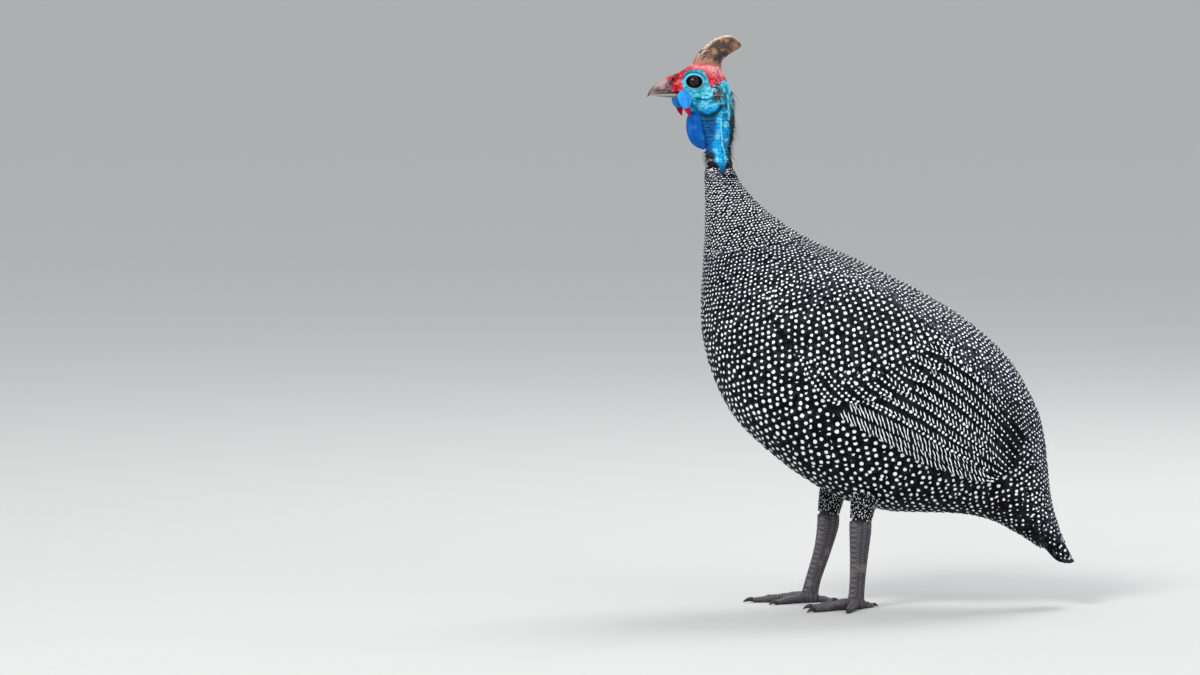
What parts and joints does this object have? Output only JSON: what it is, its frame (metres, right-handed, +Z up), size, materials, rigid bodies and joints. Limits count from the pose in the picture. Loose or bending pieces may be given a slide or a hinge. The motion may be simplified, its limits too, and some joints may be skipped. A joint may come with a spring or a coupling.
{
  "type": "helmeted guineafowl",
  "caption": "Life-size standing helmeted guineafowl with a horn casque, blue head, wattles, spotted plumage, folded wings and a drooping tail",
  "frame": {"origin": "middle of the bounding box in plan, at the floor under the feet", "axes": "+Z up, the bird faces -X, its left side is -Y"},
  "size_m": [0.3685, 0.1756, 0.4964],
  "materials": {
    "plumage": "near-black feathers with fine pale spots, matt",
    "wing_plumage": "near-black wing and tail feathers with rows of pale spots, slight sheen",
    "skin_blue": "bare blue skin of face and neck, red over the bill and crown",
    "skin_pale": "pale blue skin of the ear",
    "wattle_blue": "sky-blue wattle with a deep red tip",
    "throat_blue": "cobalt-blue folded skin of the throat",
    "casque_horn": "dry brown horn with a pale top edge",
    "bill_horn": "grey-pink horn, satin",
    "bill_dark": "dark horn with a pale edge",
    "eye_dark": "dark brown, wet and glossy",
    "leg_scale": "dark slate scutes and fine scales",
    "claw_horn": "black-brown horn"
  },
  "bodies": {
    "root": {"bill_lower": "bill_dark", "bill_upper": "bill_horn", "casque": "casque_horn", "claw_inner_left": "claw_horn", "claw_inner_right": "claw_horn", "claw_middle_left": "claw_horn", "claw_middle_right": "claw_horn", "claw_outer_left": "claw_horn", "claw_outer_right": "claw_horn", "claw_rear_left": "claw_horn", "claw_rear_right": "claw_horn", "ear_left": "skin_pale", "ear_right": "skin_pale", "eye_left": "eye_dark", "eye_right": "eye_dark", "foot_left": "leg_scale", "foot_right": "leg_scale", "head": "skin_blue", "neck_bare": "skin_blue", "neck_feathered": "plumage", "shin_left": "plumage", "shin_right": "plumage", "tail": "wing_plumage", "tarsus_left": "leg_scale", "tarsus_right": "leg_scale", "throat_lobe": "throat_blue", "torso": "plumage", "wattle_left": "wattle_blue", "wattle_right": "wattle_blue", "wing_left": "wing_plumage", "wing_right": "wing_plumage"}
  },
  "joints": []
}
